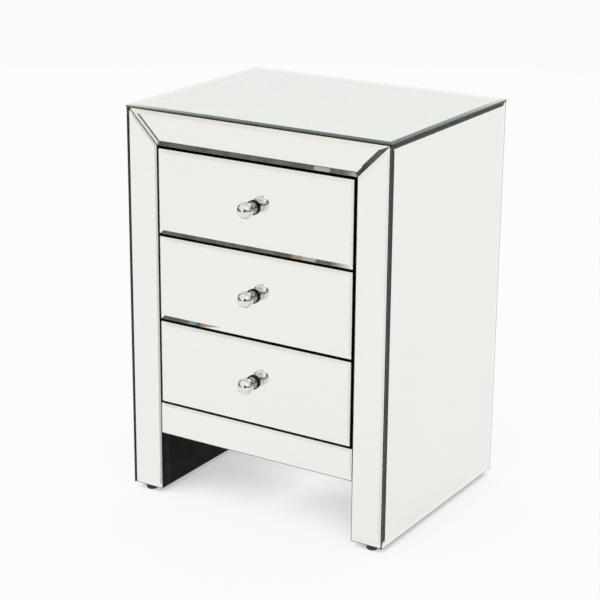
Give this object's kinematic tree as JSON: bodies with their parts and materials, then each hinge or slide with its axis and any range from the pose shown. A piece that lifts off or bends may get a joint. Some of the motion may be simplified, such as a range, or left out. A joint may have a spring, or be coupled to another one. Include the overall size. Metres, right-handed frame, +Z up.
{
  "type": "mirrored chest of drawers",
  "caption": "Small chest of drawers clad in bevelled mirror glass, with panel legs, ball knobs and drawers that slide out on ball runners.",
  "frame": {"origin": "on the floor, under the middle of the chest's box with the knobs counted", "axes": "+Z up, the drawers face -Y, +X is the right side as seen from the front"},
  "size_m": [0.5, 0.4284, 0.683],
  "materials": {
    "mirror_glass": "silvered clear glass with polished bevels and dark green edges",
    "black_board": "satin black lacquer on fibreboard",
    "drawer_board": "dark charcoal laminate",
    "knob_chrome": "polished chrome plate",
    "runner_steel": "zinc plated, satin",
    "cage_steel": "bright steel",
    "screw_steel": "zinc plated",
    "foot_plastic": "moulded black plastic"
  },
  "bodies": {
    "carcass": {"left_side_panel": "black_board", "right_side_panel": "black_board", "left_inner_panel": "black_board", "right_inner_panel": "black_board", "left_stile_post": "black_board", "right_stile_post": "black_board", "left_rear_post": "black_board", "right_rear_post": "black_board", "top_panel": "black_board", "top_rail": "black_board", "apron_rail": "black_board", "bottom_panel": "black_board", "back_panel": "black_board", "top_mirror": "mirror_glass", "left_side_mirror": "mirror_glass", "right_side_mirror": "mirror_glass", "left_stile_mirror": "mirror_glass", "right_stile_mirror": "mirror_glass", "top_rail_mirror": "mirror_glass", "apron_mirror": "mirror_glass", "feet": "foot_plastic", "foot_screws": "screw_steel", "back_panel_screws": "screw_steel", "cabinet_runner_screws": "screw_steel", "top_cabinet_runners": "runner_steel", "middle_cabinet_runners": "runner_steel", "bottom_cabinet_runners": "runner_steel"},
    "top_drawer": {"top_drawer_front_mirror": "mirror_glass", "top_drawer_front_board": "black_board", "top_drawer_box_left_side": "drawer_board", "top_drawer_box_right_side": "drawer_board", "top_drawer_box_back": "drawer_board", "top_drawer_box_bottom": "drawer_board", "top_drawer_knob": "knob_chrome", "top_drawer_knob_screw": "screw_steel", "top_drawer_runners": "runner_steel", "top_drawer_runner_screws": "screw_steel"},
    "top_cages": {"top_ball_cages": "cage_steel"},
    "middle_drawer": {"middle_drawer_front_mirror": "mirror_glass", "middle_drawer_front_board": "black_board", "middle_drawer_box_left_side": "drawer_board", "middle_drawer_box_right_side": "drawer_board", "middle_drawer_box_back": "drawer_board", "middle_drawer_box_bottom": "drawer_board", "middle_drawer_knob": "knob_chrome", "middle_drawer_knob_screw": "screw_steel", "middle_drawer_runners": "runner_steel", "middle_drawer_runner_screws": "screw_steel"},
    "middle_cages": {"middle_ball_cages": "cage_steel"},
    "bottom_drawer": {"bottom_drawer_front_mirror": "mirror_glass", "bottom_drawer_front_board": "black_board", "bottom_drawer_box_left_side": "drawer_board", "bottom_drawer_box_right_side": "drawer_board", "bottom_drawer_box_back": "drawer_board", "bottom_drawer_box_bottom": "drawer_board", "bottom_drawer_knob": "knob_chrome", "bottom_drawer_knob_screw": "screw_steel", "bottom_drawer_runners": "runner_steel", "bottom_drawer_runner_screws": "screw_steel"},
    "bottom_cages": {"bottom_ball_cages": "cage_steel"}
  },
  "joints": [
    {"name": "top_drawer_slide", "type": "slide", "parent": "carcass", "child": "top_drawer", "axis": [0, -1, 0], "range_m": [0, 0.21]},
    {"name": "top_cage_roll", "type": "slide", "parent": "carcass", "child": "top_cages", "axis": [0, -1, 0], "range_m": [0, 0.105]},
    {"name": "middle_drawer_slide", "type": "slide", "parent": "carcass", "child": "middle_drawer", "axis": [0, -1, 0], "range_m": [0, 0.21]},
    {"name": "middle_cage_roll", "type": "slide", "parent": "carcass", "child": "middle_cages", "axis": [0, -1, 0], "range_m": [0, 0.105]},
    {"name": "bottom_drawer_slide", "type": "slide", "parent": "carcass", "child": "bottom_drawer", "axis": [0, -1, 0], "range_m": [0, 0.21]},
    {"name": "bottom_cage_roll", "type": "slide", "parent": "carcass", "child": "bottom_cages", "axis": [0, -1, 0], "range_m": [0, 0.105]}
  ],
  "couplings": [
    {"joint": "top_cage_roll", "follows": "top_drawer_slide", "ratio": 0.5},
    {"joint": "middle_cage_roll", "follows": "middle_drawer_slide", "ratio": 0.5},
    {"joint": "bottom_cage_roll", "follows": "bottom_drawer_slide", "ratio": 0.5}
  ]
}
